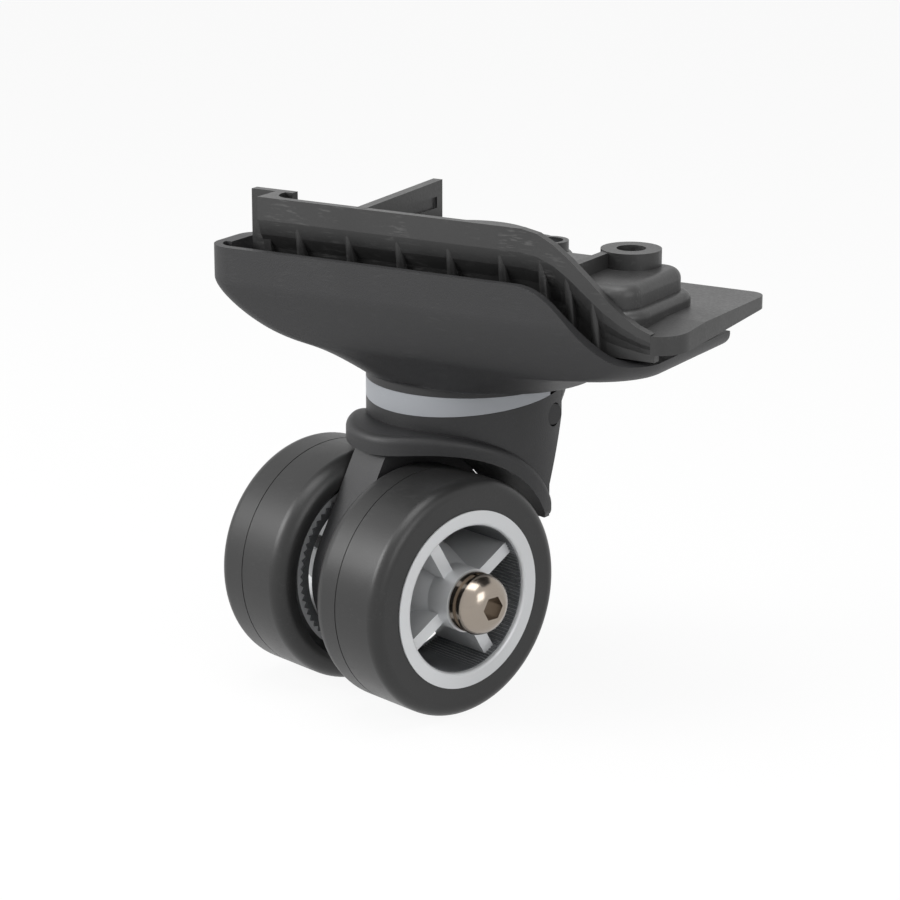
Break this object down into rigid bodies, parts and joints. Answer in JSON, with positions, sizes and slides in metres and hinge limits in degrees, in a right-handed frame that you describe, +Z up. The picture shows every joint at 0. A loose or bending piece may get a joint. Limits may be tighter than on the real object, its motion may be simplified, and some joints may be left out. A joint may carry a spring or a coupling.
{
  "type": "suitcase corner swivel caster",
  "caption": "Twin-wheel swivel caster built into a suitcase corner housing, with a clamping inner plate, a trailing fork under a fender hood, and spoked wheels on ball bearings.",
  "frame": {"origin": "on the swivel axis, in the flat seat on top of the bearing tower", "axes": "+Z up along the swivel axis into the case, +X along the housing's long arm, +Y along its short arm; the wheels trail towards -Y at rest"},
  "size_m": [0.1174, 0.0989, 0.1149],
  "materials": {
    "housing_plastic": "fine-grained charcoal moulding",
    "plate_plastic": "smoother charcoal moulding with a soft sheen",
    "fork_plastic": "fine-grained charcoal moulding",
    "hood_plastic": "fine-grained charcoal moulding",
    "band_paint": "cool grey satin paint",
    "tyre_rubber": "dark elastomer with a faint sheen",
    "hub_paint": "silver painted moulding",
    "nickel_steel": "polished warm nickel plate",
    "zinc_steel": "zinc plate",
    "spring_steel": "dark phosphated spring steel",
    "bearing_steel": "ground steel",
    "ball_steel": "polished steel",
    "bearing_plastic": "natural acetal"
  },
  "bodies": {
    "housing": {"outer_housing": "housing_plastic", "inner_plate": "plate_plastic", "tie_screws": "zinc_steel", "swivel_bush": "bearing_plastic", "swivel_bearing_outer_ring": "bearing_steel", "swivel_bearing_balls": "ball_steel", "swivel_bearing_shields": "bearing_steel"},
    "fork": {"fork_body": "fork_plastic", "fender_hood": "hood_plastic", "trim_band": "band_paint", "hood_pins": "fork_plastic", "kingpin": "zinc_steel", "kingpin_washer": "zinc_steel", "kingpin_circlip": "spring_steel", "thrust_washer": "bearing_plastic", "swivel_bearing_inner_ring": "bearing_steel", "axle_barrel": "nickel_steel", "axle_screw": "nickel_steel", "flat_washers": "nickel_steel", "spring_washers": "nickel_steel", "bearing_spacers": "zinc_steel", "near_inner_bearing_inner_ring": "bearing_steel", "near_outer_bearing_inner_ring": "bearing_steel", "far_inner_bearing_inner_ring": "bearing_steel", "far_outer_bearing_inner_ring": "bearing_steel"},
    "near_wheel": {"near_tyre": "tyre_rubber", "near_hub": "hub_paint", "near_inner_bearing_outer_ring": "bearing_steel", "near_inner_bearing_balls": "ball_steel", "near_inner_bearing_shields": "bearing_steel", "near_outer_bearing_outer_ring": "bearing_steel", "near_outer_bearing_balls": "ball_steel", "near_outer_bearing_shields": "bearing_steel"},
    "far_wheel": {"far_tyre": "tyre_rubber", "far_hub": "hub_paint", "far_inner_bearing_outer_ring": "bearing_steel", "far_inner_bearing_balls": "ball_steel", "far_inner_bearing_shields": "bearing_steel", "far_outer_bearing_outer_ring": "bearing_steel", "far_outer_bearing_balls": "ball_steel", "far_outer_bearing_shields": "bearing_steel"}
  },
  "joints": [
    {"name": "swivel", "type": "hinge", "parent": "housing", "child": "fork", "pos_m": [0, 0, -0.0118], "axis": [0, 0, 1], "continuous": true},
    {"name": "near_wheel_spin", "type": "hinge", "parent": "fork", "child": "near_wheel", "pos_m": [-0.0071, -0.02324, -0.0758], "axis": [0.9563, -0.2924, 0], "continuous": true},
    {"name": "far_wheel_spin", "type": "hinge", "parent": "fork", "child": "far_wheel", "pos_m": [-0.0071, -0.02324, -0.0758], "axis": [0.9563, -0.2924, 0], "continuous": true}
  ]
}
